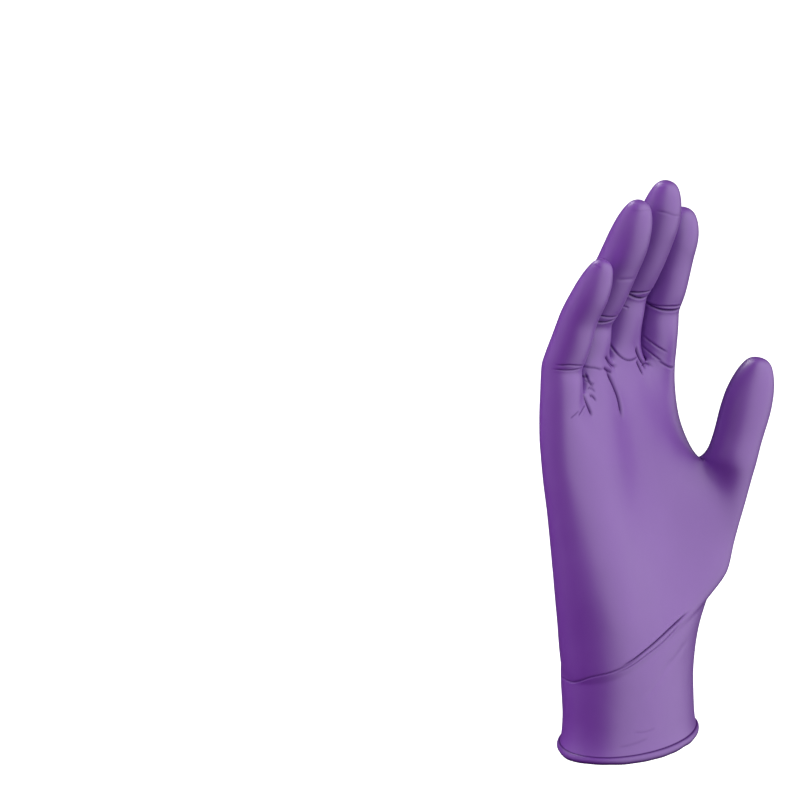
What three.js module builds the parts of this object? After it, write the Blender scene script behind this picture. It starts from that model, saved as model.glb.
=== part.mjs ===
import * as THREE from "three";

// A nitrile exam glove, cut alike for left and right, in its worn right form: one dipped film
// with a rolled bead round its cuff, open at the wrist and hollow to every fingertip. Millimetres,
// +Z up to the fingertips, the palm faces -Y and the thumb is at +X. The origin is the middle of the
// cuff's mouth.

// Driving dimensions.
const WALL = 1.0;
const BEAD_DIAMETER = 2.8;
const CUFF_LENGTH = 40.5;
const CUFF_BREADTH = 68;
const CUFF_DEPTH = 44.8;
const WRIST_BREADTH = 67;
const WRIST_DEPTH = 44.2;
const PALM_LENGTH = 117.5;
const PALM_BREADTH = 85;
const PALM_DEPTH = 30;
const FINGER_LENGTH = 78;
const FINGER_BREADTH = 19.2;
const FINGER_DEPTH = 18;
const THUMB_LENGTH = 62;
const THUMB_BREADTH = 21;
const THUMB_DEPTH = 19.5;
const WEB_DEPTH = 10;
const FOLD_DEPTH = 1.7;
const FOLD_ON_THE_BACK = 0.25;

// The fingers, from the little one. near, mid and far are the lengths of a finger's bones as shares
// of the finger length, breadth, depth and gap its section and the gap to the next finger as shares
// of the finger breadth and depth, and y and z the place of its root as shares of the palm's depth
// and length. The three bends lean its bones towards the palm side, and splay leans it towards the
// thumb, in degrees.
const FINGERS = [
  {
    name: "little", near: 0.231, mid: 0.288, far: 0.344, breadth: 0.865, depth: 0.889, gap: 0.19,
    y: 0.345, z: 0.879, bends: [0, 20, 26], splay: 3.4,
  },
  {
    name: "ring", near: 0.244, mid: 0.353, far: 0.365, breadth: 0.99, depth: 1.01, gap: 0.078,
    y: 0.452, z: 1.01, bends: [7, 30, 22], splay: 0.8,
  },
  {
    name: "middle", near: 0.34, mid: 0.34, far: 0.32, breadth: 1.0, depth: 1.0, gap: 0.055,
    y: 0.465, z: 1.01, bends: [11.5, 30, 17], splay: 0.2,
  },
  {
    name: "index", near: 0.333, mid: 0.308, far: 0.265, breadth: 0.98, depth: 0.972, gap: 0,
    y: 0.335, z: 0.931, bends: [8, 18, 14], splay: 0.7,
  },
];

// Cross sections along a finger: bone counts from the root, along is a share of that bone, and
// breadth, palmar and dorsal are shares of the finger's breadth and half depths.
const FINGER_ROWS = [
  { bone: 0, along: 0.38, breadth: 1.02, palmar: 1.08, dorsal: 1.05 },
  { bone: 0, along: 0.8, breadth: 1.0, palmar: 1.06, dorsal: 1.04 },
  { bone: 1, along: 0.0, breadth: 1.0, palmar: 0.9, dorsal: 1.06 },
  { bone: 1, along: 0.2, breadth: 1.0, palmar: 1.04, dorsal: 1.02 },
  { bone: 1, along: 0.62, breadth: 0.97, palmar: 1.02, dorsal: 0.95 },
  { bone: 2, along: 0.0, breadth: 0.95, palmar: 0.89, dorsal: 0.94 },
  { bone: 2, along: 0.32, breadth: 0.93, palmar: 1.0, dorsal: 0.86 },
  { bone: 2, along: 0.68, breadth: 0.81, palmar: 0.86, dorsal: 0.72 },
  { bone: 2, along: 0.95, breadth: 0.46, palmar: 0.46, dorsal: 0.44 },
];

// The thumb leaves the palm's edge between two palm rows. Its bones are set by their lean towards
// the thumb side and towards the palm side, in degrees, and webSide points from the thumb to the
// index finger.
const THUMB = {
  x: 0.439, y: -0.655, z: 0.478, near: 0.516, far: 0.484,
  leans: [15, 13], bends: [9, 10], webSide: { x: -1, y: 0.35, z: 0 },
};
const THUMB_ROWS = [
  { bone: 0, along: 0.45, breadth: 1.04, depth: 1.02 },
  { bone: 0, along: 0.8, breadth: 0.98, depth: 0.98 },
  { bone: 1, along: 0.0, breadth: 1.0, depth: 0.98 },
  { bone: 1, along: 0.3, breadth: 1.04, depth: 0.98 },
  { bone: 1, along: 0.66, breadth: 0.9, depth: 0.86 },
  { bone: 1, along: 0.95, breadth: 0.5, depth: 0.5 },
];

// The thumb's hole in the palm's rows, by the numbers of its first and last row and its first and
// last point.
const THUMB_HOLE = { rows: [8, 10], points: [7, 9] };

// Cuff rows, from the bead up. up is a share of the cuff length, breadth and depth are shares of
// the cuff's, and radial lifts the thumb side of the row by a share of the cuff length.
const CUFF_ROWS = [
  { up: 0.03, breadth: 1.05, depth: 1.05, radial: -0.02 },
  { up: 0.16, breadth: 1.02, depth: 1.02, radial: 0 },
  { up: 0.45, breadth: 1, depth: 1, radial: 0.12 },
];

// Palm rows, from the wrist to below the fingers. up is a share of the palm length, grown goes from
// the wrist's size at 0 to the palm's at 1, back and side move the row by shares of the palm's
// depth and breadth, square is the exponent of its outline, even spreads its points evenly over the
// fingers, radial lifts its thumb side by a share of the cuff length, and fold pushes it out by a
// share of the fold's depth.
const PALM_ROWS = [
  {
    up: -0.08, grown: 0, breadth: 1, depth: 1, side: -0.01, back: 0.02, square: 2, even: 0,
    radial: 0.24, fold: 0,
  },
  {
    up: 0.03, grown: 0.02, breadth: 1, depth: 1, side: -0.012, back: 0.03, square: 2,
    even: 0, radial: 0.33, fold: 0,
  },
  {
    up: 0.055, grown: 0.05, breadth: 1, depth: 1, side: -0.012, back: 0.03, square: 2,
    even: 0, radial: 0.34, fold: -1,
  },
  {
    up: 0.077, grown: 0.1, breadth: 1, depth: 1, side: -0.012, back: 0.03, square: 2,
    even: 0.05, radial: 0.34, fold: 0.5,
  },
  {
    up: 0.17, grown: 0.34, breadth: 0.99, depth: 1, side: -0.01, back: 0.06, square: 2.1,
    even: 0.15, radial: 0.16, fold: 0,
  },
  {
    up: 0.29, grown: 0.62, breadth: 0.98, depth: 1, side: -0.01, back: 0.11, square: 2.2,
    even: 0.3, radial: 0.04, fold: 0,
  },
  {
    up: 0.44, grown: 0.85, breadth: 0.96, depth: 1, side: 0, back: 0.18, square: 2.3,
    even: 0.5, radial: 0, fold: 0,
  },
  {
    up: 0.61, grown: 0.95, breadth: 0.96, depth: 1, side: 0, back: 0.26, square: 2.4,
    even: 0.7, radial: 0, fold: 0,
  },
  {
    up: 0.76, grown: 1, breadth: 0.97, depth: 0.95, side: 0.005, back: 0.33, square: 2.5,
    even: 0.85, radial: 0, fold: 0,
  },
];

// Swellings and hollows of the palm: up is a share of the palm length, point the place round a row,
// reachUp and reachRound how far it spreads, and x, y and z the push as shares of the palm depth.
const SWELLINGS = [
  {
    name: "ball of the thumb", up: 0.25, point: 7.3, reachUp: 0.22, reachRound: 1.9,
    x: 0.44, y: -0.56, z: 0,
  },
  {
    name: "root of the thumb", up: 0.45, point: 7, reachUp: 0.1, reachRound: 1.2, x: -0.05,
    y: -0.36, z: 0.22,
  },
  { name: "web of the thumb", up: 0.6, point: 7.2, reachUp: 0.1, reachRound: 1.3, x: 0.05, y: -0.22, z: 0 },
  { name: "heel of the palm", up: 0.3, point: 1.5, reachUp: 0.25, reachRound: 1.5, x: 0, y: -0.16, z: 0 },
  { name: "hollow of the palm", up: 0.6, point: 4, reachUp: 0.22, reachRound: 1.6, x: 0, y: 0.12, z: 0 },
  {
    name: "crease under the ring finger", up: 0.8, point: 4, reachUp: 0.09, reachRound: 0.5,
    x: 0, y: 0.07, z: 0,
  },
];

// How far below the finger roots' palm side the rest of that row lies, as shares of the web depth.
const ROOT_DROPS = { palmCorner: 0.15, side: 0.3, web: 0.3, backCorner: 0.7, back: 0.8, webBack: 1.0 };

const LOOP_POINTS = 20;
const RING_POINTS = 8;
const RADIAL_POINT = 9;
const ULNAR_POINT = 19;
const EVEN_STEP = 0.232;

const degrees = THREE.MathUtils.degToRad;
const mix = THREE.MathUtils.lerp;

// A Catmull-Clark loop of n points draws in by this much, so its cage is made larger by the same.
const swell = (n) => 3 / (2 + Math.cos((2 * Math.PI) / n));

// The cage of the glove's outer face: points, and quads of point numbers with their outer side
// counter-clockwise.
const cage = { points: [], quads: [] };

function addPoint(point) {
  cage.points.push(point);
  return cage.points.length - 1;
}

function joinRings(lower, upper, skip = () => false) {
  lower.forEach((a, i) => {
    const next = (i + 1) % lower.length;
    if (!skip(i)) cage.quads.push([a, lower[next], upper[next], upper[i]]);
  });
}

// The direction of point k of a row, from the thumb's side round by the glove's back.
const pointAngle = (k) => degrees(180 + (360 / LOOP_POINTS) * (k + 1));

// Where point k of a row lies across the palm, from -1 at the little finger's edge to 1 at the thumb's.
function across(k, even) {
  if (k === RADIAL_POINT || k === ULNAR_POINT) return Math.cos(pointAngle(k));
  const step = k < RADIAL_POINT ? k - 4 : 14 - k;
  return mix(Math.cos(pointAngle(k)), step * EVEN_STEP, even);
}

// One closed row of the cuff or palm: from the little finger's edge across the palm side, and back
// across the back.
function rowPoints({ centre, breadth, depth, square = 2, even = 0, lift = 0 }) {
  const grow = swell(LOOP_POINTS);
  return Array.from({ length: LOOP_POINTS }, (_, k) => {
    const u = across(k, even);
    const v = (1 - Math.abs(u) ** square) ** (1 / square);
    const facing = k < RADIAL_POINT ? -1 : 1;
    return new THREE.Vector3(
      centre.x + (grow * u * breadth) / 2,
      centre.y + (grow * facing * v * depth) / 2,
      centre.z + lift * u,
    );
  });
}

function cuffRow(row) {
  return rowPoints({
    centre: new THREE.Vector3(0, 0, row.up * CUFF_LENGTH),
    breadth: row.breadth * CUFF_BREADTH,
    depth: row.depth * CUFF_DEPTH,
    lift: row.radial * CUFF_LENGTH,
  });
}

function palmRow(row) {
  const points = rowPoints({
    centre: new THREE.Vector3(
      row.side * PALM_BREADTH,
      row.back * PALM_DEPTH,
      CUFF_LENGTH + row.up * PALM_LENGTH,
    ),
    breadth: row.breadth * mix(WRIST_BREADTH, PALM_BREADTH, row.grown),
    depth: row.depth * mix(WRIST_DEPTH, PALM_DEPTH, row.grown),
    square: row.square,
    even: row.even,
    lift: row.radial * CUFF_LENGTH,
  });
  points.forEach((point, k) => {
    for (const s of SWELLINGS) {
      const round = Math.min(Math.abs(k - s.point), LOOP_POINTS - Math.abs(k - s.point));
      const share = Math.exp(-(((row.up - s.up) / s.reachUp) ** 2) - (round / s.reachRound) ** 2);
      point.x += share * s.x * PALM_DEPTH;
      point.y += share * s.y * PALM_DEPTH;
      point.z += share * s.z * PALM_DEPTH;
    }
    const towardsBack = Math.max(0, Math.sin(pointAngle(k)));
    const push = row.fold * FOLD_DEPTH * mix(1, FOLD_ON_THE_BACK, towardsBack);
    point.x += push * Math.cos(pointAngle(k));
    point.y += push * Math.sin(pointAngle(k));
  });
  return points;
}

// The direction of a bone that leans by splay towards the thumb side and by bend towards the palm side.
function boneDirection(splay, bend) {
  const s = Math.tan(degrees(splay));
  const b = Math.tan(degrees(bend));
  return new THREE.Vector3(s, -b, 1).normalize();
}

// Frames along a chain of bones: at(row) gives a row's centre, its axis, and its two cross directions.
function boneChain(root, lengths, directions, dorsal) {
  const joints = [root];
  directions.forEach((d, i) => joints.push(joints[i].clone().addScaledVector(d, lengths[i])));
  return (row) => {
    const before = directions[Math.max(row.bone - 1, 0)];
    const here = directions[row.bone];
    const after = directions[Math.min(row.bone + 1, directions.length - 1)];
    const bent = row.along < 0.5 ? before : after;
    const axis = here.clone().lerp(bent, Math.abs(0.5 - row.along)).normalize();
    const centre = joints[row.bone].clone().lerp(joints[row.bone + 1], row.along);
    const up = dorsal.clone().addScaledVector(axis, -dorsal.dot(axis)).normalize();
    const side = new THREE.Vector3().crossVectors(up, axis);
    return { centre, axis, side, up };
  };
}

// A ring of eight points round a finger, from its palm side's far corner round by the thumb side.
function ringPoints(frame, breadth, below, above) {
  const grow = swell(RING_POINTS);
  return Array.from({ length: RING_POINTS }, (_, j) => {
    const angle = degrees(225 + (360 / RING_POINTS) * j);
    const rise = Math.sin(angle);
    return frame.centre
      .clone()
      .addScaledVector(frame.side, (grow * Math.cos(angle) * breadth) / 2)
      .addScaledVector(frame.up, grow * rise * (rise < 0 ? below : above));
  });
}

// Closes a ring of eight with four quads round one point.
function capRing(ring, point) {
  const pole = addPoint(point);
  for (let j = 0; j < RING_POINTS; j += 2) {
    cage.quads.push([ring[(j + 7) % RING_POINTS], ring[j], ring[j + 1], pole]);
  }
}

// The middles of the fingers' roots across the palm: each finger starts one gap past the last one's side.
function fingerPlaces() {
  let edge = 0;
  const places = FINGERS.map(({ breadth, gap }) => {
    const middle = edge + breadth / 2;
    edge += breadth + gap;
    return middle;
  });
  return places.map((place) => (place - edge / 2) * FINGER_BREADTH);
}

function fingerAxis(finger) {
  const root = new THREE.Vector3(
    fingerPlaces()[FINGERS.indexOf(finger)],
    finger.y * PALM_DEPTH,
    CUFF_LENGTH + finger.z * PALM_LENGTH,
  );
  const directions = finger.bends.map((bend) => boneDirection(finger.splay, bend));
  const lengths = [finger.near, finger.mid, finger.far].map((share) => share * FINGER_LENGTH);
  return boneChain(root, lengths, directions, new THREE.Vector3(0, 1, 0));
}

// The row where the fingers leave the palm, and the middle of each web between two of them.
function fingerRoots() {
  const centres = FINGERS.map((finger) => fingerAxis(finger)({ bone: 0, along: 0 }).centre);
  const grow = swell(RING_POINTS);
  const drops = ROOT_DROPS;
  const row = [];
  const webs = [];
  const place = (from, across, back, drop) =>
    from.clone().add(new THREE.Vector3(across, back, -drop * WEB_DEPTH));
  FINGERS.forEach((finger, i) => {
    const centre = centres[i];
    const half = (grow * finger.breadth * FINGER_BREADTH) / 2;
    const deep = (grow * finger.depth * FINGER_DEPTH) / 2;
    const corner = 0.76;
    row[2 * i + 1] = place(centre, 0, -deep * 1.06, 0);
    row[17 - 2 * i] = place(centre, 0, deep * 1.02, drops.back);
    if (i === 0) {
      row[0] = place(centre, -half * corner, -deep * corner, drops.palmCorner);
      row[ULNAR_POINT] = place(centre, -half, 0, drops.side);
      row[18] = place(centre, -half * corner, deep * corner, drops.backCorner);
    }
    if (i === FINGERS.length - 1) {
      row[8] = place(centre, half * corner, -deep * corner, drops.palmCorner);
      row[RADIAL_POINT] = place(centre, half * 1.06, 0, drops.side);
      row[10] = place(centre, half * corner, deep * corner, drops.backCorner);
      return;
    }
    const middle = centre.clone().lerp(centres[i + 1], 0.5);
    row[2 * i + 2] = place(middle, 0, -deep * 0.8, 0);
    row[16 - 2 * i] = place(middle, 0, deep * 0.7, drops.webBack);
    webs[i] = place(middle, 0, 0, drops.web);
  });
  return { row, webs };
}

function buildCage() {
  const rows = [...CUFF_ROWS.map(cuffRow), ...PALM_ROWS.map(palmRow)].map((row) => row.map(addPoint));
  const { row, webs } = fingerRoots();
  rows.push(row.map(addPoint));
  const webPoints = webs.map(addPoint);
  const [below, above] = THUMB_HOLE.rows;
  const [first, last] = THUMB_HOLE.points;
  rows.slice(1).forEach((upper, r) => {
    const inHole = (k) => r >= below && r < above && k >= first && k < last;
    joinRings(rows[r], upper, inHole);
  });

  const roots = rows[rows.length - 1];
  FINGERS.forEach((finger, i) => {
    const at = fingerAxis(finger);
    let ring = [
      roots[2 * i],
      roots[2 * i + 1],
      roots[2 * i + 2],
      i === 3 ? roots[RADIAL_POINT] : webPoints[i],
      roots[16 - 2 * i],
      roots[17 - 2 * i],
      roots[18 - 2 * i],
      i === 0 ? roots[ULNAR_POINT] : webPoints[i - 1],
    ];
    for (const r of FINGER_ROWS) {
      const frame = at(r);
      const points = ringPoints(
        frame,
        r.breadth * finger.breadth * FINGER_BREADTH,
        (r.palmar * finger.depth * FINGER_DEPTH) / 2,
        (r.dorsal * finger.depth * FINGER_DEPTH) / 2,
      );
      const next = points.map(addPoint);
      joinRings(ring, next);
      ring = next;
    }
    capRing(ring, at({ bone: 2, along: 1.0 }).centre);
  });

  let ring = [
    rows[below][first],
    rows[below][first + 1],
    rows[below][last],
    rows[below + 1][last],
    rows[above][last],
    rows[above][first + 1],
    rows[above][first],
    rows[below + 1][first],
  ];
  const root = new THREE.Vector3(
    THUMB.x * PALM_BREADTH,
    THUMB.y * PALM_DEPTH,
    CUFF_LENGTH + THUMB.z * PALM_LENGTH,
  );
  const directions = THUMB.leans.map((lean, i) => boneDirection(lean, THUMB.bends[i]));
  const web = new THREE.Vector3(THUMB.webSide.x, THUMB.webSide.y, THUMB.webSide.z);
  const lengths = [THUMB.near * THUMB_LENGTH, THUMB.far * THUMB_LENGTH];
  const at = boneChain(root, lengths, directions, web);
  for (const r of THUMB_ROWS) {
    const half = (r.breadth * THUMB_BREADTH) / 2;
    const next = ringPoints(at(r), r.depth * THUMB_DEPTH, half, half).map(addPoint);
    joinRings(ring, next);
    ring = next;
  }
  capRing(ring, at({ bone: 1, along: 1 }).centre);
}

// One Catmull-Clark step on a cage of quads that may be open at one edge.
function subdivide({ points, quads }) {
  const faces = quads.map((quad) =>
    quad.reduce((sum, i) => sum.add(points[i]), new THREE.Vector3()).multiplyScalar(1 / 4),
  );
  const edges = new Map();
  const around = points.map(() => ({ faces: [], mids: [], rim: [] }));
  const edgeOf = (a, b) => edges.get(a < b ? `${a},${b}` : `${b},${a}`);
  quads.forEach((quad, f) => {
    quad.forEach((a, i) => {
      const b = quad[(i + 1) % 4];
      const key = a < b ? `${a},${b}` : `${b},${a}`;
      if (!edges.has(key)) edges.set(key, { a, b, faces: [] });
      edges.get(key).faces.push(f);
      around[a].faces.push(f);
    });
  });
  const made = { points: [...faces], quads: [] };
  for (const edge of edges.values()) {
    const mid = points[edge.a].clone().lerp(points[edge.b], 0.5);
    around[edge.a].mids.push(mid);
    around[edge.b].mids.push(mid);
    edge.number = made.points.length;
    if (edge.faces.length === 1) {
      around[edge.a].rim.push(points[edge.b]);
      around[edge.b].rim.push(points[edge.a]);
      made.points.push(mid);
    } else {
      const faceMid = faces[edge.faces[0]].clone().lerp(faces[edge.faces[1]], 0.5);
      made.points.push(mid.clone().lerp(faceMid, 0.5));
    }
  }
  const kept = points.map((point, i) => {
    const { faces: near, mids, rim } = around[i];
    if (!near.length) return null;
    const moved = point.clone();
    if (rim.length) {
      moved.multiplyScalar(6 / 8).addScaledVector(rim[0], 1 / 8).addScaledVector(rim[1], 1 / 8);
    } else {
      const n = near.length;
      moved.multiplyScalar((n - 3) / n);
      near.forEach((f) => moved.addScaledVector(faces[f], 1 / (n * n)));
      mids.forEach((mid) => moved.addScaledVector(mid, 2 / (n * n)));
    }
    made.points.push(moved);
    return made.points.length - 1;
  });
  quads.forEach((quad, f) => {
    quad.forEach((a, i) => {
      const next = edgeOf(a, quad[(i + 1) % 4]).number;
      const last = edgeOf(a, quad[(i + 3) % 4]).number;
      made.quads.push([kept[a], next, f, last]);
    });
  });
  return made;
}

function pointNormals({ points, quads }) {
  const normals = points.map(() => new THREE.Vector3());
  for (const quad of quads) {
    const [a, b, c, d] = quad.map((i) => points[i]);
    const normal = new THREE.Vector3().crossVectors(c.clone().sub(a), d.clone().sub(b));
    quad.forEach((i) => normals[i].add(normal));
  }
  return normals.map((normal) => normal.normalize());
}

// The open edge of a surface, in the order in which its faces pass it.
function rimLoop({ quads }) {
  const next = new Map();
  const passed = new Set();
  quads.forEach((quad) => quad.forEach((a, i) => passed.add(`${a},${quad[(i + 1) % 4]}`)));
  quads.forEach((quad) =>
    quad.forEach((a, i) => {
      const b = quad[(i + 1) % 4];
      if (!passed.has(`${b},${a}`)) next.set(a, b);
    }),
  );
  const start = next.keys().next().value;
  const loop = [start];
  while (next.get(loop[loop.length - 1]) !== start) loop.push(next.get(loop[loop.length - 1]));
  return loop;
}

// The film: the outer face, an inner face one wall inside it, and the rolled bead that joins them
// at the cuff.
function filmGeometry(outer) {
  const normals = pointNormals(outer);
  const count = outer.points.length;
  const points = [
    ...outer.points,
    ...outer.points.map((point, i) => point.clone().addScaledVector(normals[i], -WALL)),
  ];
  const quads = [...outer.quads, ...outer.quads.map((quad) => quad.map((i) => i + count).reverse())];

  const rim = rimLoop(outer);
  const radius = BEAD_DIAMETER / 2;
  const reach = radius - WALL;
  const start = Math.acos(-reach / radius);
  const steps = 7;
  const rings = [rim];
  for (let s = 1; s < steps; s++) {
    const angle = mix(start, -Math.PI, s / steps);
    rings.push(
      rim.map((i) => {
        const outward = normals[i].clone().setZ(0).normalize();
        const point = outer.points[i].clone().addScaledVector(outward, reach + radius * Math.cos(angle));
        point.z += radius * (Math.sin(angle) - Math.sin(start));
        points.push(point);
        return points.length - 1;
      }),
    );
  }
  rings.push(rim.map((i) => i + count));
  rings.slice(1).forEach((lower, r) => {
    const upper = rings[r];
    upper.forEach((a, i) => {
      const next = (i + 1) % upper.length;
      quads.push([upper[next], a, lower[i], lower[next]]);
    });
  });

  const triangles = quads.flatMap(([a, b, c, d]) => {
    const cutAtA = points[a].distanceTo(points[c]) < points[b].distanceTo(points[d]);
    return cutAtA ? [a, b, c, a, c, d] : [a, b, d, b, c, d];
  });
  const geometry = new THREE.BufferGeometry();
  const flat = points.flatMap((p) => p.toArray());
  geometry.setAttribute("position", new THREE.Float32BufferAttribute(flat, 3));
  geometry.setIndex(triangles);
  geometry.computeVertexNormals();
  return geometry;
}

buildCage();
const nitrile = new THREE.MeshStandardMaterial({ color: 0x7c4ba0, roughness: 0.5, metalness: 0 });
const film = new THREE.Mesh(filmGeometry(subdivide(cage)), nitrile);
film.name = "glove_film";

const glove = new THREE.Group();
glove.add(film);

export default glove;
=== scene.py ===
import math

import bmesh
import bpy
import numpy as np
from mathutils import Matrix, Vector, noise
from mathutils.bvhtree import BVHTree
from mathutils.kdtree import KDTree


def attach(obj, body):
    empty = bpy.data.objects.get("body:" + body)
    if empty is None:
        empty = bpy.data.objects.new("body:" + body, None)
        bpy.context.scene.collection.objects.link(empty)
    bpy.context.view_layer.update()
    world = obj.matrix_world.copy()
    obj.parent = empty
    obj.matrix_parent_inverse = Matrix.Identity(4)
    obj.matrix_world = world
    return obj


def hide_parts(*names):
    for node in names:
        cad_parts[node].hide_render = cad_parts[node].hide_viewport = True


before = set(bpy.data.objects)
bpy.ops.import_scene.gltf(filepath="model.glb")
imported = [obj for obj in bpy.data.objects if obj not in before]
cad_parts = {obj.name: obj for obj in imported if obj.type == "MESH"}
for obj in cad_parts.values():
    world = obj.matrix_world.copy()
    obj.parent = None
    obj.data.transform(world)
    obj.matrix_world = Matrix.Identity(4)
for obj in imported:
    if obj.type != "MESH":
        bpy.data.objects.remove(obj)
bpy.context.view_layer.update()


# The film over the cuff and palm
# The glove is one nitrile film, dipped on a former and drawn in its worn form as one cage of quads.
# These are the cage's rows from the cuff's mouth to the knuckles. +Z points to the fingertips, the
# palm faces -Y and the thumb is at +X.

CUFF_LENGTH, CUFF_BREADTH, CUFF_DEPTH = 0.0405, 0.068, 0.0448
WRIST_BREADTH, WRIST_DEPTH = 0.067, 0.0442
PALM_LENGTH, PALM_BREADTH, PALM_DEPTH = 0.1175, 0.085, 0.030
FOLD_DEPTH, FOLD_ON_THE_BACK = 0.0006, 0.25

# Each row has 20 points, of which 9 is at the thumb's edge and 19 at the little finger's. Where a
# row is spaced evenly, its points lie this share of the half breadth apart.
LOOP_POINTS, RADIAL_POINT, ULNAR_POINT = 20, 9, 19
EVEN_STEP = 0.232

# Height as a share of the cuff's length, size as a share of the cuff's, lift of the thumb side.
CUFF_ROWS = [
    dict(up=0.06, size=1.05, radial=-0.02),
    dict(up=0.16, size=1.02, radial=0.0),
    dict(up=0.45, size=1.0, radial=0.12),
]

# Height as a share of the palm's length, growth from the wrist's size to the palm's, size, shift to
# the side and back, exponent of the outline, even spacing of its points, lift, push of the fold.
PALM_COLUMNS = ("up", "grown", "breadth", "depth", "side", "back", "square", "even", "radial", "fold")
PALM_ROWS = [
    (-0.08, 0.0, 1.0, 1.0, -0.01, 0.02, 2.0, 0.0, 0.24, 0),
    (0.03, 0.02, 1.0, 1.0, -0.012, 0.03, 2.0, 0.0, 0.33, 0),
    (0.055, 0.05, 1.0, 1.0, -0.012, 0.03, 2.0, 0.0, 0.34, -1),
    (0.077, 0.1, 1.0, 1.0, -0.012, 0.03, 2.0, 0.05, 0.34, 0.5),
    (0.17, 0.34, 0.99, 1.0, -0.01, 0.06, 2.1, 0.15, 0.16, 0),
    (0.29, 0.62, 0.98, 1.0, -0.01, 0.11, 2.2, 0.3, 0.04, 0),
    (0.44, 0.85, 0.96, 1.0, 0.0, 0.18, 2.3, 0.5, 0.0, 0),
    (0.61, 0.95, 0.96, 1.0, 0.0, 0.26, 2.4, 0.7, 0.0, 0),
    (0.76, 1.0, 0.97, 0.95, 0.005, 0.33, 2.5, 0.85, 0.0, 0),
]

# Place of a swelling, its reach up and round, and its push as shares of the palm's depth.
SWELLINGS = [
    dict(name="ball of the thumb", up=0.25, point=7.3, reach=(0.22, 1.9), push=(0.44, -0.56, 0.0)),
    dict(name="root of the thumb", up=0.45, point=7.0, reach=(0.1, 1.2), push=(-0.05, -0.36, 0.22)),
    dict(name="web of the thumb", up=0.6, point=7.2, reach=(0.1, 1.3), push=(0.05, -0.22, 0.0)),
    dict(name="heel of the palm", up=0.3, point=1.5, reach=(0.25, 1.5), push=(0.0, -0.16, 0.0)),
    dict(name="hollow of the palm", up=0.6, point=4.0, reach=(0.22, 1.6), push=(0.0, 0.12, 0.0)),
    dict(name="under the ring finger", up=0.8, point=4.0, reach=(0.09, 0.5), push=(0.0, 0.07, 0.0)),
]

cage_points = []
cage_quads = []


def add_points(points):
    start = len(cage_points)
    cage_points.extend(points)
    return list(range(start, len(cage_points)))


def join_rings(lower, upper, skip=()):
    for i in range(len(lower)):
        following = (i + 1) % len(lower)
        if i not in skip:
            cage_quads.append((lower[i], lower[following], upper[following], upper[i]))


def mix(a, b, share):
    return a + (b - a) * share


def swell(count):
    """How much larger a cage ring of so many points is than the smooth ring that it makes."""
    return 3 / (2 + math.cos(math.tau / count))


def point_angle(k):
    return math.pi + math.tau / LOOP_POINTS * (k + 1)


def row_points(centre, breadth, depth, lift, square=2.0, even=0.0):
    """A closed row, from the little finger's edge across the palm side and back across the back."""
    points = []
    for k in range(LOOP_POINTS):
        u = math.cos(point_angle(k))
        if k not in (RADIAL_POINT, ULNAR_POINT):
            step = k - 4 if k < RADIAL_POINT else 14 - k
            u = mix(u, step * EVEN_STEP, even)
        v = (1 - abs(u) ** square) ** (1 / square)
        facing = -1 if k < RADIAL_POINT else 1
        across = swell(LOOP_POINTS) * u * breadth / 2
        deep = swell(LOOP_POINTS) * facing * v * depth / 2
        points.append(centre + Vector((across, deep, lift * u)))
    return points


def cuff_row(row):
    return row_points(
        Vector((0, 0, row["up"] * CUFF_LENGTH)),
        row["size"] * CUFF_BREADTH,
        row["size"] * CUFF_DEPTH,
        row["radial"] * CUFF_LENGTH,
    )


def palm_row(row):
    centre = Vector((
        row["side"] * PALM_BREADTH,
        row["back"] * PALM_DEPTH,
        CUFF_LENGTH + row["up"] * PALM_LENGTH,
    ))
    points = row_points(
        centre,
        row["breadth"] * mix(WRIST_BREADTH, PALM_BREADTH, row["grown"]),
        row["depth"] * mix(WRIST_DEPTH, PALM_DEPTH, row["grown"]),
        row["radial"] * CUFF_LENGTH,
        row["square"],
        row["even"],
    )
    for k, point in enumerate(points):
        for s in SWELLINGS:
            around = min(abs(k - s["point"]), LOOP_POINTS - abs(k - s["point"]))
            away = ((row["up"] - s["up"]) / s["reach"][0]) ** 2 + (around / s["reach"][1]) ** 2
            point += Vector(s["push"]) * PALM_DEPTH * math.exp(-away)
        angle = point_angle(k)
        push = row["fold"] * FOLD_DEPTH * mix(1, FOLD_ON_THE_BACK, max(0, math.sin(angle)))
        point += Vector((push * math.cos(angle), push * math.sin(angle), 0))
    return points


palm_rows = [dict(zip(PALM_COLUMNS, row)) for row in PALM_ROWS]
rows = [add_points(cuff_row(row)) for row in CUFF_ROWS]
rows += [add_points(palm_row(row)) for row in palm_rows]


# The four finger stalls
# Each is a tube of eight-point rings along three straight bones that bend towards the palm, closed
# by a round tip, and it leaves the last palm row between its two webs.

FINGER_LENGTH, FINGER_BREADTH, FINGER_DEPTH = 0.078, 0.0192, 0.018
WEB_DEPTH = 0.010
RING_POINTS = 8

# Bones as shares of the finger length, section and gap as shares of the finger's breadth and depth,
# and the root's place as shares of the palm's depth and length. Bends and splay are in degrees.
FINGERS = [
    dict(name="little", bones=(0.231, 0.288, 0.344), breadth=0.865, depth=0.889, gap=0.19,
         back=0.345, up=0.879, bends=(0, 20, 26), splay=3.4),
    dict(name="ring", bones=(0.244, 0.353, 0.365), breadth=0.99, depth=1.01, gap=0.078,
         back=0.512, up=1.01, bends=(12.5, 30, 22), splay=0.8),
    dict(name="middle", bones=(0.358, 0.34, 0.32), breadth=1.0, depth=1.0, gap=0.055,
         back=0.532, up=1.01, bends=(15.8, 30, 17), splay=0.2),
    dict(name="index", bones=(0.333, 0.308, 0.265), breadth=0.98, depth=0.972, gap=0.0,
         back=0.335, up=0.931, bends=(8, 18, 14), splay=0.7),
]

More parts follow.
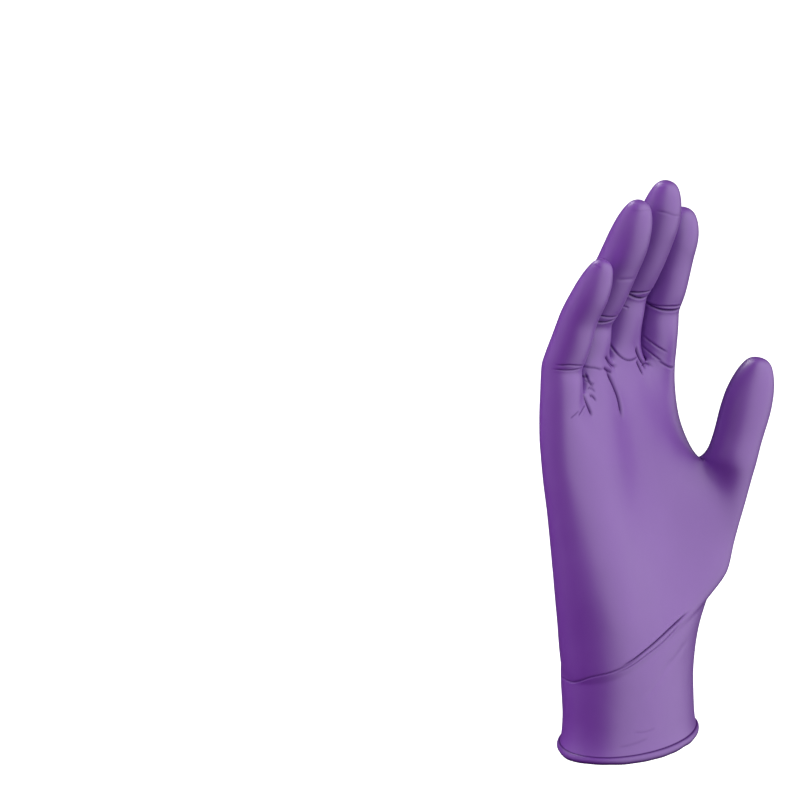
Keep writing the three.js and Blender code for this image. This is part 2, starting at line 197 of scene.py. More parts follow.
# Bone, place along it, breadth, palm-side and back-side half depths.
FINGER_ROWS = [
    (0, 0.38, 1.02, 1.08, 1.05),
    (0, 0.8, 1.0, 1.06, 1.04),
    (1, 0.0, 1.0, 0.9, 1.06),
    (1, 0.2, 1.0, 1.04, 1.02),
    (1, 0.62, 0.97, 1.02, 0.95),
    (2, 0.0, 0.95, 0.89, 0.94),
    (2, 0.32, 0.93, 1.0, 0.86),
    (2, 0.68, 0.81, 0.86, 0.72),
    (2, 0.95, 0.46, 0.46, 0.44),
]

# How far below a finger root's palm side the rest of that row lies, as shares of the web depth.
ROOT_DROPS = dict(palm_corner=0.15, side=0.3, web=0.3, back_corner=0.7, back=0.8, web_back=1.0)
ROOT_CORNER = 0.76


def bone_direction(splay, bend):
    return Vector((math.tan(math.radians(splay)), -math.tan(math.radians(bend)), 1)).normalized()


class BoneChain:
    """Straight bones end to end. frame(bone, along) gives a place on them and its cross directions."""

    def __init__(self, root, lengths, directions, upward):
        self.directions = directions
        self.upward = upward
        self.joints = [root]
        for length, direction in zip(lengths, directions):
            self.joints.append(self.joints[-1] + direction * length)

    def frame(self, bone, along):
        neighbour = bone - 1 if along < 0.5 else bone + 1
        neighbour = min(max(neighbour, 0), len(self.directions) - 1)
        axis = self.directions[bone].lerp(self.directions[neighbour], abs(0.5 - along)).normalized()
        centre = self.joints[bone].lerp(self.joints[bone + 1], along)
        up = (self.upward - axis * self.upward.dot(axis)).normalized()
        return centre, axis, up.cross(axis), up


def ring_points(place, breadth, below, above):
    centre, _, side, up = place
    points = []
    for j in range(RING_POINTS):
        angle = math.radians(225) + math.tau / RING_POINTS * j
        deep = below if math.sin(angle) < 0 else above
        across = side * math.cos(angle) * breadth / 2 + up * math.sin(angle) * deep
        points.append(centre + across * swell(RING_POINTS))
    return points


def cap_ring(ring, point):
    (pole,) = add_points([point])
    for j in range(0, RING_POINTS, 2):
        cage_quads.append((ring[j - 1], ring[j], ring[j + 1], pole))


# Each finger starts one gap past the last one's side.
edge = 0.0
finger_places = []
for finger in FINGERS:
    finger_places.append(edge + finger["breadth"] / 2)
    edge += finger["breadth"] + finger["gap"]
chains = {}
for finger, place in zip(FINGERS, finger_places):
    root = Vector((
        (place - edge / 2) * FINGER_BREADTH,
        finger["back"] * PALM_DEPTH,
        CUFF_LENGTH + finger["up"] * PALM_LENGTH,
    ))
    directions = [bone_direction(finger["splay"], bend) for bend in finger["bends"]]
    lengths = [share * FINGER_LENGTH for share in finger["bones"]]
    chains[finger["name"]] = BoneChain(root, lengths, directions, Vector((0, 1, 0)))

root_row = [None] * LOOP_POINTS
webs = []
for i, finger in enumerate(FINGERS):
    centre = chains[finger["name"]].joints[0]
    half = swell(RING_POINTS) * finger["breadth"] * FINGER_BREADTH / 2
    deep = swell(RING_POINTS) * finger["depth"] * FINGER_DEPTH / 2

    def below(middle, across, back, drop=None):
        return middle + Vector((across, back, -ROOT_DROPS[drop] * WEB_DEPTH if drop else 0))

    root_row[2 * i + 1] = below(centre, 0, -deep * 1.06)
    root_row[17 - 2 * i] = below(centre, 0, deep * 1.02, "back")
    if finger["name"] == "little":
        root_row[0] = below(centre, -half * ROOT_CORNER, -deep * ROOT_CORNER, "palm_corner")
        root_row[ULNAR_POINT] = below(centre, -half, 0, "side")
        root_row[18] = below(centre, -half * ROOT_CORNER, deep * ROOT_CORNER, "back_corner")
    if finger["name"] == "index":
        root_row[8] = below(centre, half * ROOT_CORNER, -deep * ROOT_CORNER, "palm_corner")
        root_row[RADIAL_POINT] = below(centre, half * 1.06, 0, "side")
        root_row[10] = below(centre, half * ROOT_CORNER, deep * ROOT_CORNER, "back_corner")
    else:
        middle = centre.lerp(chains[FINGERS[i + 1]["name"]].joints[0], 0.5)
        root_row[2 * i + 2] = below(middle, 0, -deep * 0.8)
        root_row[16 - 2 * i] = below(middle, 0, deep * 0.7, "web_back")
        webs.append(below(middle, 0, 0, "web"))

THUMB_HOLE_ROWS, THUMB_HOLE_POINTS = (8, 10), (7, 9)
rows.append(add_points(root_row))
web_points = add_points(webs)
for r in range(len(rows) - 1):
    in_hole = range(*THUMB_HOLE_POINTS) if r in range(*THUMB_HOLE_ROWS) else ()
    join_rings(rows[r], rows[r + 1], in_hole)

roots = rows[-1]
for i, finger in enumerate(FINGERS):
    chain = chains[finger["name"]]
    thumb_side = roots[RADIAL_POINT] if i == 3 else web_points[i]
    little_side = roots[ULNAR_POINT] if i == 0 else web_points[i - 1]
    ring = [roots[2 * i], roots[2 * i + 1], roots[2 * i + 2], thumb_side]
    ring += [roots[16 - 2 * i], roots[17 - 2 * i], roots[18 - 2 * i], little_side]
    half_depth = finger["depth"] * FINGER_DEPTH / 2
    for bone, along, breadth, palmar, dorsal in FINGER_ROWS:
        place = chain.frame(bone, along)
        wide = breadth * finger["breadth"] * FINGER_BREADTH
        following = add_points(ring_points(place, wide, palmar * half_depth, dorsal * half_depth))
        join_rings(ring, following)
        ring = following
    cap_ring(ring, chain.joints[-1])


# The thumb stall
# It leaves the thumb's edge of the palm through a hole in the palm's rows, leaning outwards and
# towards the palm side, with the web to the palm on its inner side.

THUMB_LENGTH, THUMB_BREADTH, THUMB_DEPTH = 0.062, 0.021, 0.0195
THUMB_ROOT = (0.439, -0.655, 0.478)
THUMB_BONES = (0.516, 0.484)
THUMB_LEANS, THUMB_BENDS = (15, 13), (9, 10)
THUMB_WEB_SIDE = Vector((-1, 0.35, 0))
THUMB_ROWS = [
    (0, 0.45, 1.04, 1.02),
    (0, 0.8, 0.98, 0.98),
    (1, 0.0, 1.0, 0.98),
    (1, 0.3, 1.04, 0.98),
    (1, 0.66, 0.9, 0.86),
    (1, 0.95, 0.5, 0.5),
]

thumb_root = Vector((
    THUMB_ROOT[0] * PALM_BREADTH,
    THUMB_ROOT[1] * PALM_DEPTH,
    CUFF_LENGTH + THUMB_ROOT[2] * PALM_LENGTH,
))
thumb_directions = [bone_direction(lean, bend) for lean, bend in zip(THUMB_LEANS, THUMB_BENDS)]
thumb_lengths = [share * THUMB_LENGTH for share in THUMB_BONES]
chains["thumb"] = BoneChain(thumb_root, thumb_lengths, thumb_directions, THUMB_WEB_SIDE)

low, high = THUMB_HOLE_ROWS
first, last = THUMB_HOLE_POINTS
ring = [rows[low][k] for k in range(first, last + 1)] + [rows[low + 1][last]]
ring += [rows[high][k] for k in range(last, first - 1, -1)] + [rows[low + 1][first]]
for bone, along, depth_share, breadth_share in THUMB_ROWS:
    half = depth_share * THUMB_BREADTH / 2
    place = chains["thumb"].frame(bone, along)
    following = add_points(ring_points(place, breadth_share * THUMB_DEPTH, half, half))
    join_rings(ring, following)
    ring = following
cap_ring(ring, chains["thumb"].joints[-1])


# The folds and creases
# The thin film creases as it bends: a slanting overlapped fold over the wrist, creases at the finger
# joints and roots, small gathers in the webs and a line down the palm. Each is a line laid on the
# smooth film, with the film pushed in along it and raised a little beside it.

# Height, and how far back the middle of the glove lies there.
GLOVE_MIDDLES = [(0.0, 0.0), (CUFF_LENGTH, 0.001), (0.1, 0.0045), (CUFF_LENGTH + PALM_LENGTH, 0.0115)]
PALM_MIDDLE_BACK = 0.010


def smooth_copy(name, levels):
    """The cage as a smooth mesh, after so many rounds of subdivision."""
    mesh = bpy.data.meshes.new(name)
    mesh.from_pydata([tuple(p) for p in cage_points], [], cage_quads)
    thing = bpy.data.objects.new(name, mesh)
    bpy.context.scene.collection.objects.link(thing)
    smoother = thing.modifiers.new("smoother", "SUBSURF")
    smoother.levels = smoother.render_levels = levels
    smooth = bpy.data.meshes.new_from_object(thing.evaluated_get(bpy.context.evaluated_depsgraph_get()))
    bpy.data.objects.remove(thing)
    bpy.data.meshes.remove(mesh)
    return smooth


finest = smooth_copy("finest", 4)
surface = BVHTree.FromPolygons([v.co for v in finest.vertices], [p.vertices for p in finest.polygons])
bpy.data.meshes.remove(finest)


def on_wrist(angle, up):
    """From the glove's middle outwards, at an angle round it and a share of the palm's length."""
    z = CUFF_LENGTH + up * PALM_LENGTH
    back = np.interp(z, [height for height, _ in GLOVE_MIDDLES], [back for _, back in GLOVE_MIDDLES])
    outward = Vector((math.cos(math.radians(angle)), math.sin(math.radians(angle)), 0))
    return Vector((0, back, z)), outward


def on_palm(across, up):
    """From inside the glove to the palm side, at shares of half the palm's breadth and its length."""
    z = CUFF_LENGTH + up * PALM_LENGTH
    return Vector((across * PALM_BREADTH / 2, PALM_MIDDLE_BACK, z)), Vector((0, -1, 0))


def on_stall(name, bone, along, angle):
    """From a bone outwards: 0 degrees is its thumb side, 180 its little side and 270 its palm side."""
    centre, _, side, up = chains[name].frame(bone, along)
    return centre, side * math.cos(math.radians(angle)) + up * math.sin(math.radians(angle))


# Half width and depth in mm, then an angle round the glove and a share of the palm's length for each
# point. A groove is narrow with low lips, a fold stands up on one side, and a dent is broad.
WRIST_CREASES = [
    dict(name="wrist fold", kind="groove", width=0.4, depth=0.24,
         points=[(150, -0.08), (163, -0.068), (178, -0.06), (191, -0.03), (204, -0.012), (218, 0.012),
                 (230, 0.036)]),
    dict(name="wrist fold, overlapped", kind="fold", width=0.5, depth=0.62,
         points=[(208, -0.004), (218, 0.018), (234, 0.049), (259, 0.082), (285, 0.113), (299, 0.132)]),
    dict(name="wrist, second strand", kind="groove", width=0.36, depth=0.18,
         points=[(204, -0.022), (216, -0.002), (234, 0.029), (254, 0.052), (273, 0.078), (288, 0.108)]),
    dict(name="wrist, lower diagonal", kind="dent", width=1.5, depth=0.22,
         points=[(302, 0.03), (280, -0.013), (258, -0.047), (241, -0.099), (225, -0.14)]),
    dict(name="above the bead", kind="groove", width=0.5, depth=0.07,
         points=[(218, -0.238), (229, -0.246), (243, -0.243)]),
    dict(name="above the bead, lower", kind="groove", width=0.6, depth=0.07,
         points=[(206, -0.288), (220, -0.281), (235, -0.27)]),
    dict(name="back of the wrist", kind="dent", width=1.6, depth=0.28,
         points=[(140, 0.02), (118, 0.05), (92, 0.07), (70, 0.12)]),
    dict(name="back of the wrist, lower", kind="dent", width=1.8, depth=0.24,
         points=[(112, -0.1), (88, -0.07), (62, -0.04), (40, 0.02)]),
    dict(name="thumb's edge of the wrist", kind="dent", width=1.5, depth=0.26,
         points=[(20, 0.12), (0, 0.1), (-22, 0.13), (-40, 0.16)]),
]

# The same on a stall's bone, with a share of the bone's length and an angle round it for each point.
STALL_CREASES = [
    dict(stall="little", bone=1, kind="groove", width=0.38, depth=0.28,
         points=[(0.13, 186), (0.15, 205), (0.19, 233), (0.18, 262), (0.15, 300)]),
    dict(stall="little", bone=1, kind="groove", width=0.36, depth=0.24,
         points=[(0.02, 180), (0.05, 203), (0.07, 230), (0.09, 262), (0.11, 290)]),
    dict(stall="little", bone=0, kind="groove", width=0.4, depth=0.22,
         points=[(0.08, 275), (0.04, 262), (-0.07, 240)]),
    dict(stall="little", bone=0, kind="groove", width=0.4, depth=0.28,
         points=[(0.17, 312), (0.08, 290), (-0.05, 266)]),
    dict(stall="little", bone=2, kind="groove", width=0.35, depth=0.07,
         points=[(0.86, 150), (0.9, 180), (0.9, 215)]),
    dict(stall="ring", bone=1, kind="groove", width=0.42, depth=0.34,
         points=[(0.24, 205), (0.26, 235), (0.25, 279), (0.24, 320)]),
    dict(stall="ring", bone=1, kind="groove", width=0.5, depth=0.5,
         points=[(0.12, 210), (0.14, 240), (0.17, 270), (0.19, 300)]),
    dict(stall="ring", bone=2, kind="dent", width=0.8, depth=0.14,
         points=[(-0.12, 215), (-0.08, 245), (-0.08, 290)]),
    dict(stall="ring", bone=2, kind="groove", width=0.35, depth=0.06,
         points=[(0.86, 178), (0.89, 215), (0.91, 260), (0.9, 308)]),
    dict(stall="ring", bone=0, kind="groove", width=0.42, depth=0.3,
         points=[(0.12, 205), (0.12, 238), (0.08, 255), (0.05, 272)]),
    dict(stall="ring", bone=0, kind="groove", width=0.65, depth=0.68,
         points=[(0.34, 272), (0.2, 290), (0.04, 312), (-0.02, 322)]),
    dict(stall="ring", bone=0, kind="groove", width=0.6, depth=0.55,
         points=[(0.1, 266), (0.0, 284), (-0.1, 303)]),
    dict(stall="ring", bone=0, kind="groove", width=0.4, depth=0.34,
         points=[(0.22, 280), (0.1, 294), (-0.03, 306)]),
    dict(stall="middle", bone=1, kind="groove", width=0.45, depth=0.45,
         points=[(0.13, 195), (0.17, 225), (0.2, 262), (0.19, 300), (0.18, 325)]),
    dict(stall="middle", bone=1, kind="groove", width=0.5, depth=0.5,
         points=[(0.14, 205), (0.09, 232), (0.06, 258), (0.06, 282), (0.04, 305)]),
    dict(stall="middle", bone=0, kind="groove", width=0.4, depth=0.18,
         points=[(0.9, 210), (0.88, 232)]),
    dict(stall="middle", bone=2, kind="groove", width=0.45, depth=0.12,
         points=[(0.55, 195), (0.56, 227), (0.52, 262), (0.5, 290)]),
    dict(stall="middle", bone=0, kind="groove", width=0.42, depth=0.38,
         points=[(0.32, 198), (0.2, 218), (0.11, 238), (0.07, 254), (0.07, 270), (0.1, 288)]),
    dict(stall="middle", bone=0, kind="groove", width=0.8, depth=0.8,
         points=[(0.26, 276), (0.08, 289), (-0.12, 303)]),
    dict(stall="middle", bone=0, kind="groove", width=0.55, depth=0.5,
         points=[(0.06, 277), (-0.06, 283), (-0.18, 288)]),
    dict(stall="index", bone=1, kind="groove", width=0.4, depth=0.3,
         points=[(0.17, 170), (0.16, 200), (0.18, 240), (0.17, 270), (0.17, 300)]),
    dict(stall="index", bone=1, kind="groove", width=0.48, depth=0.52,
         points=[(0.17, 160), (0.13, 190), (0.1, 220), (0.09, 250), (0.08, 285), (0.08, 310)]),
    dict(stall="index", bone=0, kind="groove", width=0.4, depth=0.26,
         points=[(0.62, 180), (0.53, 205), (0.44, 230), (0.34, 262)]),
    dict(stall="index", bone=0, kind="groove", width=0.4, depth=0.26,
         points=[(0.46, 180), (0.36, 205), (0.26, 230), (0.2, 250)]),
    dict(stall="index", bone=0, kind="groove", width=0.5, depth=0.42,
         points=[(0.34, 180), (0.22, 200), (0.12, 222)]),
    dict(stall="index", bone=0, kind="groove", width=0.42, depth=0.34,
         points=[(0.25, 226), (0.17, 248), (0.1, 272), (0.08, 296)]),
]

# The same on the palm, with shares of half its breadth and of its length for each point.
PALM_CREASES = [
    dict(name="down the palm", kind="groove", width=1.1, depth=0.85,
         points=[(-0.21, 1.0), (-0.165, 0.97), (-0.11, 0.93), (-0.075, 0.885), (-0.08, 0.81)]),
    dict(name="little and ring web", kind="groove", width=0.4, depth=0.36,
         points=[(-0.45, 1.0), (-0.44, 0.965), (-0.41, 0.945)]),
    dict(name="little and ring web", kind="groove", width=0.36, depth=0.3,
         points=[(-0.47, 0.975), (-0.43, 0.962), (-0.385, 0.958)]),
    dict(name="little and ring web", kind="groove", width=0.36, depth=0.3,
         points=[(-0.48, 0.95), (-0.44, 0.945), (-0.4, 0.93)]),
    dict(name="little and ring web", kind="groove", width=0.8, depth=0.75,
         points=[(-0.575, 0.95), (-0.555, 0.905), (-0.525, 0.855)]),
    dict(name="little and ring web", kind="groove", width=0.45, depth=0.4,
         points=[(-0.5, 0.99), (-0.47, 0.985), (-0.43, 0.985)]),
    dict(name="little and ring web", kind="groove", width=0.45, depth=0.4,
         points=[(-0.49, 0.925), (-0.45, 0.92), (-0.42, 0.9)]),
]

# How far apart the places on a line lie, and the longest way between two of its points on the film.
LINE_STEP = 0.0003
LONGEST_JUMP = 0.012


def smooth_line(points, step=0.12):
    """Points along a smooth curve through the given ones."""
    given = np.array(points, float)
    ends = np.vstack([2 * given[0] - given[1], given, 2 * given[-1] - given[-2]])
    line = []
    for i in range(1, len(ends) - 2):
        a, b, c, d = ends[i - 1:i + 3]
        for t in np.arange(0, 1, step):
            square_part = 2 * b + (c - a) * t + (2 * a - 5 * b + 4 * c - d) * t**2
            line.append(0.5 * (square_part + (3 * b - a - 3 * c + d) * t**3))
    line.append(given[-1])
    return line


def laid_line(rays):
    """A line of places on the film every 0.3 mm: point, normal and direction along the line."""
    hits = [surface.ray_cast(origin, outward)[:2] for origin, outward in rays]
    hits = [hit for hit in hits if hit[0] is not None]
    line = []
    for (a, normal_a), (b, normal_b) in zip(hits, hits[1:]):
        length = (b - a).length
        if length < 1e-5 or length > LONGEST_JUMP:
            continue
        count = max(1, round(length / LINE_STEP))
        for i in range(count):
            normal = normal_a.lerp(normal_b, i / count).normalized()
            line.append((a.lerp(b, i / count), normal, (b - a) / length))
    return line


def add_line(crease, rays):
    lines.append((crease["kind"], crease["width"] / 1000, crease["depth"] / 1000, laid_line(rays)))


lines = []
for crease in WRIST_CREASES:
    add_line(crease, [on_wrist(*point) for point in smooth_line(crease["points"])])
for crease in STALL_CREASES:
    points = smooth_line(crease["points"])
    add_line(crease, [on_stall(crease["stall"], crease["bone"], *point) for point in points])
for crease in PALM_CREASES:
    add_line(crease, [on_palm(*point) for point in smooth_line(crease["points"])])

places = KDTree(sum(len(line[3]) for line in lines))
owners = []
for number, line in enumerate(lines):
    for i, (point, _, _) in enumerate(line[3]):
        places.insert(point, len(owners))
        owners.append((number, i))
places.balance()

# How far a crease reaches to its sides, how much of it fades out at each end, the depth at which its
# painted shade is darkest, and that shade's breadth in half widths. A lip's place and breadth are in half
# widths, and its height in depths.
CREASE_REACH = 0.0045
FADING_SHARE = 0.22
DARKEST_DEPTH = 0.00042
PAINTED_SHADE_BREADTH = 0.95
GROOVE_LIP = dict(place=2.3, breadth=1.3, height=0.12)
FOLD_LIP = dict(place=2.4, breadth=1.6, upper=0.75, lower=0.25)


def lip_at(lip, aside):
    return math.exp(-((aside - lip["place"]) / lip["breadth"]) ** 2)


def profile(kind, d, width, depth):
    """How far the film moves outwards at a distance d to the side of a crease."""
    groove = -depth * math.exp(-(d / width) ** 2)
    if kind == "dent":
        return groove
    if kind == "fold":
        height = FOLD_LIP["upper"] if d > 0 else FOLD_LIP["lower"]
        return groove + height * depth * lip_at(FOLD_LIP, abs(d) / width)
    return groove + GROOVE_LIP["height"] * depth * lip_at(GROOVE_LIP, abs(d) / width)


def crease_at(point):
    """How far the creases move the film at a point, and how strongly painted shade darkens it there, 0 to
    1.
    """
    nearest = {}
    for _, index, distance in places.find_range(point, CREASE_REACH):
        number, i = owners[index]
        if number not in nearest or distance < nearest[number][0]:
            nearest[number] = (distance, i)
    push, deep = 0.0, 0.0
    for number, (distance, i) in nearest.items():
        kind, width, depth, line = lines[number]
        place, normal, along = line[i]
        aside = (point - place).dot(normal.cross(along))
        d = math.copysign(distance, aside)
        share = i / max(1, len(line) - 1)
        taper = min(1.0, share / FADING_SHARE, (1 - share) / FADING_SHARE)
        taper = taper * taper * (3 - 2 * taper)
        push += taper * profile(kind, d, width, depth)
        # Grooves and folds, not dents, get painted shade: deep says how far the colour is darkened here.
        if kind != "dent":
            darkest = taper * min(1.0, depth / DARKEST_DEPTH)
            deep = max(deep, darkest * math.exp(-(d / (PAINTED_SHADE_BREADTH * width)) ** 2))
    return push, deep


# The film's outer face
# It is the smooth cage with finer quads beside the creases, pushed in and out along them, and with
# faint broad waves where the soft film lies loose.

# Quads this near to a crease are cut in four, once for each distance, but not beside the bead.
FINER_WITHIN = (0.0032, 0.0017)
BEAD_CLEAR = 0.004
# The height of the film's waves, their length, and which of the random waves they are.
WAVES = [(0.00016, 0.014, 3.1), (0.00005, 0.005, 8.4)]

film_mesh = smooth_copy("film", 3)
film = bmesh.new()
film.from_mesh(film_mesh)
bpy.data.meshes.remove(film_mesh)
for reach in FINER_WITHIN:
    near = {v for v in film.verts if places.find(v.co)[2] < reach and v.co.z > BEAD_CLEAR}
    cut = [e for e in film.edges if e.verts[0] in near and e.verts[1] in near]
    old = set(film.verts)
    bmesh.ops.subdivide_edges(film, edges=cut, cuts=1, use_grid_fill=True)
    for v in film.verts:
        if v not in old:
            v.co = surface.find_nearest(v.co)[0]
film.verts.ensure_lookup_table()
film.normal_update()


def loose(point, scale, seed):
    return noise.noise(point / scale + Vector((seed, 0, 0)))


# The creases and waves move each point, and each point keeps how much painted shade darkens it.
outer_points = []
crease_shade_values = []
for v in film.verts:
    push, deep = crease_at(v.co)
    push += sum(height * loose(v.co, length, seed) for height, length, seed in WAVES)
    outer_points.append(v.co + v.normal * push)
    crease_shade_values.append(deep)
outer_faces = [[v.index for v in f.verts] for f in film.faces]


def rim_of(mesh_points, faces):
    """The open edge at the cuff's mouth as point numbers, starting at the thumb's edge."""
    following = {}
    inside = {(a, b) for face in faces for a, b in zip(face, face[1:] + face[:1])}
    for a, b in inside:
        if (b, a) not in inside:
            following[a] = b
    start = max(following, key=lambda k: mesh_points[k].x)
    ring = [start]
    while following[ring[-1]] != start:
        ring.append(following[ring[-1]])
    return ring


outer_rim = rim_of(outer_points, outer_faces)
film.free()


# The film's inner face
# The same smooth shape one wall further in, open at the mouth. The real film is a tenth of a
# millimetre thick, and its wall is drawn as thick as the solid's.

WALL = 0.001

lining = smooth_copy("lining", 2)
inner_points = [v.co - v.normal * WALL for v in lining.vertices]
inner_faces = [list(p.vertices) for p in lining.polygons]
inner_rim = rim_of(inner_points, inner_faces)
bpy.data.meshes.remove(lining)


# The rolled bead
# The cuff's mouth ends in the thin roll that the wet film was rolled into on the form. It stands
# out from the film by its own thickness and is a little uneven round the mouth.

BEAD_HEIGHT, BEAD_BREADTH = 0.0034, 0.0023
BEAD_STEPS = 14
UNEVEN_SHARE, UNEVEN_LENGTH, UNEVEN_SEED = 0.16, 0.008, 1.7
# How dark the painted shade is on each step round the roll, from its groove against the film to the
# mouth's inside.
BEAD_PAINTED_SHADE = (0.95, 0.7, 0.25, 0.1, 0.1, 0.3, 0.75, 0.8, 0.6, 0.5, 0.55, 0.6, 0.6, 0.5, 0.4)

points = list(outer_points) + list(inner_points)
faces = list(outer_faces)
lining_start = len(outer_points)
faces += [[lining_start + k for k in reversed(face)] for face in inner_faces]
painted_shade_values = list(crease_shade_values) + [0.0] * len(inner_points)

roll_middle = BEAD_BREADTH / 2 - WALL
start = math.acos(-2 * roll_middle / BEAD_BREADTH)
count = len(outer_rim)
rings = [list(outer_rim)]
for k in outer_rim:
    painted_shade_values[k] = BEAD_PAINTED_SHADE[0]
for step in range(1, BEAD_STEPS + 1):
    angle = start + (-math.pi - start) * step / BEAD_STEPS
    ring = []
    for i, k in enumerate(outer_rim):
        here, before, after = (outer_points[outer_rim[n % count]] for n in (i, i - 1, i + 1))
        outward = (after - before).cross(Vector((0, 0, 1))).normalized()
        if outward.dot(here) < 0:
            outward = -outward
        swing = math.sin(math.pi * step / BEAD_STEPS)
        uneven = 1 + UNEVEN_SHARE * loose(here, UNEVEN_LENGTH, UNEVEN_SEED) * swing
        across = roll_middle + BEAD_BREADTH / 2 * math.cos(angle) * uneven
        down = BEAD_HEIGHT / 2 * (math.sin(angle) - math.sin(start)) * uneven
        ring.append(len(points))
        points.append(here + outward * across + Vector((0, 0, down)))
        painted_shade_values.append(BEAD_PAINTED_SHADE[step])
    rings.append(ring)
for upper, lower in zip(rings, rings[1:]):
    for i in range(count):
        n = (i + 1) % count
        faces.append([upper[n], upper[i], lower[i], lower[n]])

# The mouth's inner edge, with two points of the roll for each point of the lining.
last = rings[-1]
inner_ring = [lining_start + k for k in inner_rim]
if (points[inner_ring[1]] - points[inner_ring[0]]).dot(points[last[1]] - points[last[0]]) < 0:
    inner_ring = [inner_ring[0]] + inner_ring[:0:-1]
nearest = min(range(count), key=lambda i: (points[last[i]] - points[inner_ring[0]]).length)
last = last[nearest:] + last[:nearest]
half = len(inner_ring)
for i in range(half):
    a, b = inner_ring[i], inner_ring[(i + 1) % half]
    p, q, r = last[2 * i], last[2 * i + 1], last[(2 * i + 2) % count]
    faces += [[q, p, a], [q, a, b], [r, q, b]]

# The whole glove as one closed mesh. The painted shade of each point, in the creases and round the bead,
# is kept for the material.
mesh = bpy.data.meshes.new("nitrile_glove")
mesh.from_pydata([tuple(p) for p in points], [], faces)
outwards = bmesh.new()
outwards.from_mesh(mesh)
bmesh.ops.recalc_face_normals(outwards, faces=outwards.faces)
outwards.to_mesh(mesh)
outwards.free()
mesh.polygons.foreach_set("use_smooth", [True] * len(mesh.polygons))
painted_shade_layer = mesh.attributes.new("painted_fold_shade", "FLOAT", "POINT")
painted_shade_layer.data.foreach_set("value", painted_shade_values)
glove = bpy.data.objects.new("nitrile_glove", mesh)
bpy.context.scene.collection.objects.link(glove)


# The nitrile
# A saturated purple rubber with a soft matt skin: it shines broadly where the light falls. Painted shade
# darkens its colour to nearly black purple in the folds and under the bead.

nitrile = bpy.data.materials.new("nitrile")
nitrile.use_nodes = True
nodes, links = nitrile.node_tree.nodes, nitrile.node_tree.links
skin = nodes["Principled BSDF"]
skin.inputs["Roughness"].default_value = 0.55
skin.inputs["Coat Roughness"].default_value = 0.42
skin.inputs["Coat IOR"].default_value = 1.75

where = nodes.new("ShaderNodeTexCoord")
patches = nodes.new("ShaderNodeTexNoise")
patches.inputs["Scale"].default_value = 60
patches.inputs["Detail"].default_value = 3
links.new(where.outputs["Object"], patches.inputs["Vector"])
tint = nodes.new("ShaderNodeMix")
tint.data_type = "RGBA"
tint.inputs["A"].default_value = (0.162, 0.029, 0.34, 1)
tint.inputs["B"].default_value = (0.182, 0.034, 0.375, 1)
links.new(patches.outputs["Fac"], tint.inputs["Factor"])
# Painted shade: the colour is darkened to nearly black purple in the creases and round the bead.
painted_shade_input = nodes.new("ShaderNodeAttribute")
painted_shade_input.attribute_name = "painted_fold_shade"
painted_shade_mix = nodes.new("ShaderNodeMix")
painted_shade_mix.data_type = "RGBA"
painted_shade_mix.inputs["B"].default_value = (0.042, 0.006, 0.095, 1)
links.new(painted_shade_input.outputs["Fac"], painted_shade_mix.inputs["Factor"])
links.new(tint.outputs["Result"], painted_shade_mix.inputs["A"])
links.new(painted_shade_mix.outputs["Result"], skin.inputs["Base Color"])
# Where the painted shade lies, the coat and the specular shine are taken away as well.
bloom = nodes.new("ShaderNodeMath")
bloom.operation = "SUBTRACT"
bloom.use_clamp = True
bloom.inputs[0].default_value = 1.0
links.new(painted_shade_input.outputs["Fac"], bloom.inputs[1])
links.new(bloom.outputs["Value"], skin.inputs["Coat Weight"])
links.new(bloom.outputs["Value"], skin.inputs["Specular IOR Level"])

grain = nodes.new("ShaderNodeTexNoise")
grain.inputs["Scale"].default_value = 1400
grain.inputs["Detail"].default_value = 2
links.new(where.outputs["Object"], grain.inputs["Vector"])
bump = nodes.new("ShaderNodeBump")
bump.inputs["Strength"].default_value = 0.05
bump.inputs["Distance"].default_value = 0.0003
links.new(grain.outputs["Fac"], bump.inputs["Height"])
links.new(bump.outputs["Normal"], skin.inputs["Normal"])
mesh.materials.append(nitrile)

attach(glove, "root")
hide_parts("glove_film")


# The studio
# A white floor far below the part, a white room that is bright on the palm's side, four large soft
# lights and the camera of the photograph.

FLOOR_REACH, FLOOR_HEIGHT = 90, -0.9
FLOOR_CORNERS = [(-1, -1), (1, -1), (1, 1), (-1, 1)]
floor_points = [(x * FLOOR_REACH, y * FLOOR_REACH, FLOOR_HEIGHT) for x, y in FLOOR_CORNERS]
floor_mesh = bpy.data.meshes.new("studio_floor")
floor_mesh.from_pydata(floor_points, [], [(0, 1, 2, 3)])
floor = bpy.data.objects.new("studio_floor", floor_mesh)
bpy.context.scene.collection.objects.link(floor)
white = bpy.data.materials.new("studio_white")
white.use_nodes = True
board = white.node_tree.nodes["Principled BSDF"]
board.inputs["Base Color"].default_value = (0.9, 0.9, 0.9, 1)
board.inputs["Roughness"].default_value = 1.0
board.inputs["Specular IOR Level"].default_value = 0.0
board.inputs["Emission Color"].default_value = (1, 1, 1, 1)
board.inputs["Emission Strength"].default_value = 1.2
floor_mesh.materials.append(white)
floor.visible_diffuse = floor.visible_glossy = False

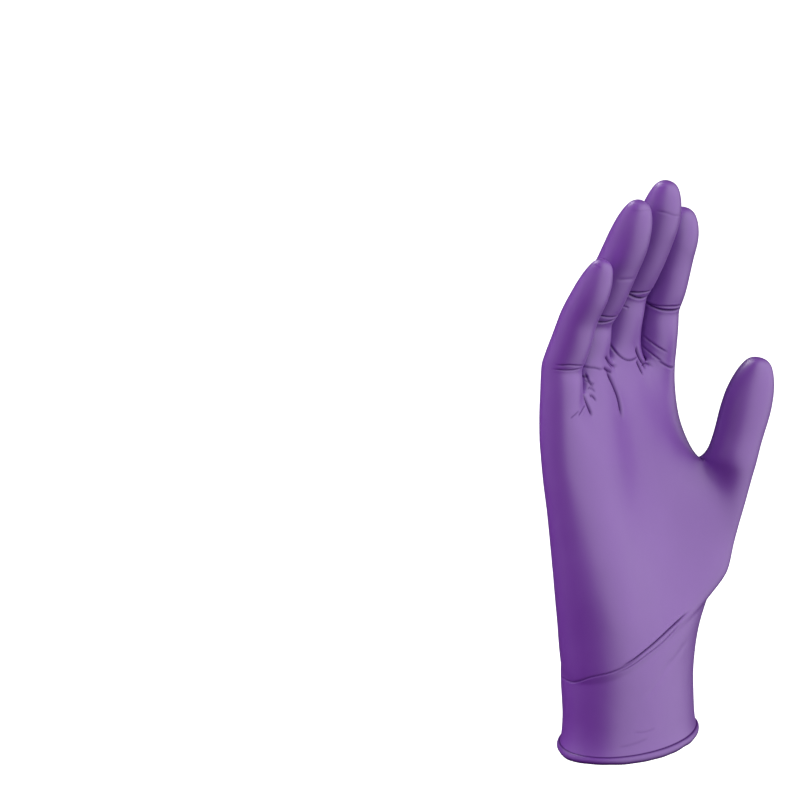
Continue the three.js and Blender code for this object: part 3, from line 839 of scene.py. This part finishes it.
# The room is bright before the palm and above the thumb, and dim behind the glove.
BRIGHT_SIDE = (0.30, -0.93, 0.21)
room = bpy.data.worlds.new("studio_room")
room.use_nodes = True
nodes, links = room.node_tree.nodes, room.node_tree.links
direction = nodes.new("ShaderNodeTexCoord")
towards = nodes.new("ShaderNodeVectorMath")
towards.operation = "DOT_PRODUCT"
towards.inputs[1].default_value = BRIGHT_SIDE
links.new(direction.outputs["Generated"], towards.inputs[0])
brightness = nodes.new("ShaderNodeMapRange")
brightness.interpolation_type = "SMOOTHSTEP"
brightness.inputs["From Min"].default_value = 0.24
brightness.inputs["From Max"].default_value = 0.66
brightness.inputs["To Min"].default_value = 0.012
brightness.inputs["To Max"].default_value = 1.04
links.new(towards.outputs["Value"], brightness.inputs["Value"])
nodes["Background"].inputs["Color"].default_value = (1, 1, 1, 1)
seen = nodes.new("ShaderNodeLightPath")
either = nodes.new("ShaderNodeMath")
either.operation = "MAXIMUM"
links.new(brightness.outputs["Result"], either.inputs[0])
links.new(seen.outputs["Is Camera Ray"], either.inputs[1])
links.new(either.outputs["Value"], nodes["Background"].inputs["Strength"])
bpy.context.scene.world = room

# The height that the lamps are turned to, about the middle of the glove.
LIT_HEIGHT = 0.12


def soft_light(name, power, size, place, mirrored=True):
    """A round lamp turned to the part. One that isn't mirrored gives no highlight on the film."""
    lamp = bpy.data.lights.new(name, "AREA")
    lamp.energy = power
    lamp.shape = "DISK"
    lamp.size = size
    thing = bpy.data.objects.new(name, lamp)
    bpy.context.scene.collection.objects.link(thing)
    thing.location = place
    thing.rotation_euler = (Vector((0, 0, LIT_HEIGHT)) - Vector(place)).to_track_quat("-Z", "Y").to_euler()
    thing.visible_glossy = mirrored


soft_light("key_light", 5, 0.9, (0.28, -0.85, 0.85), mirrored=False)
soft_light("back_light", 15, 1.4, (-0.75, 0.9, 0.45), mirrored=False)
soft_light("back_sheen", 6, 0.7, (0.15, 0.8, 1.25))
soft_light("side_light", 4.6, 1.0, (-1.25, -0.2, 0.4), mirrored=False)

bpy.context.scene.view_settings.view_transform = "Standard"

# The camera's turn and rise in degrees, its distance from a point in the palm, its focal length in
# pixels of a picture 800 wide, and how far that point lies right of and below the picture's middle.
CAMERA_TURN, CAMERA_RISE, CAMERA_AWAY = -55, 15, 1.144
AIM_HEIGHT = 0.1196
PICTURE_PIXELS, LENS_PIXELS = 800, 2820.5
RIGHT_PIXELS, BELOW_PIXELS = 228, 58
SENSOR_WIDTH = 36
right = Vector((math.cos(math.radians(CAMERA_TURN)), math.sin(math.radians(CAMERA_TURN)), 0))
back = Vector((
    math.sin(math.radians(CAMERA_TURN)) * math.cos(math.radians(CAMERA_RISE)),
    -math.cos(math.radians(CAMERA_TURN)) * math.cos(math.radians(CAMERA_RISE)),
    math.sin(math.radians(CAMERA_RISE)),
))
upward = back.cross(right)
facing = Matrix((right, upward, back)).transposed()
pan, tilt = math.atan(RIGHT_PIXELS / LENS_PIXELS), math.atan(BELOW_PIXELS / LENS_PIXELS)
turn = Matrix.Rotation(-tilt, 3, "X") @ Matrix.Rotation(-pan, 3, "Y")
lens = bpy.data.cameras.new("camera")
lens.sensor_width = SENSOR_WIDTH
lens.lens = LENS_PIXELS * SENSOR_WIDTH / PICTURE_PIXELS
camera = bpy.data.objects.new("camera", lens)
stand = Matrix.Translation(Vector((0, 0, AIM_HEIGHT)) + back * CAMERA_AWAY)
camera.matrix_world = stand @ (facing @ turn.transposed()).to_4x4()
bpy.context.scene.collection.objects.link(camera)
bpy.context.scene.camera = camera
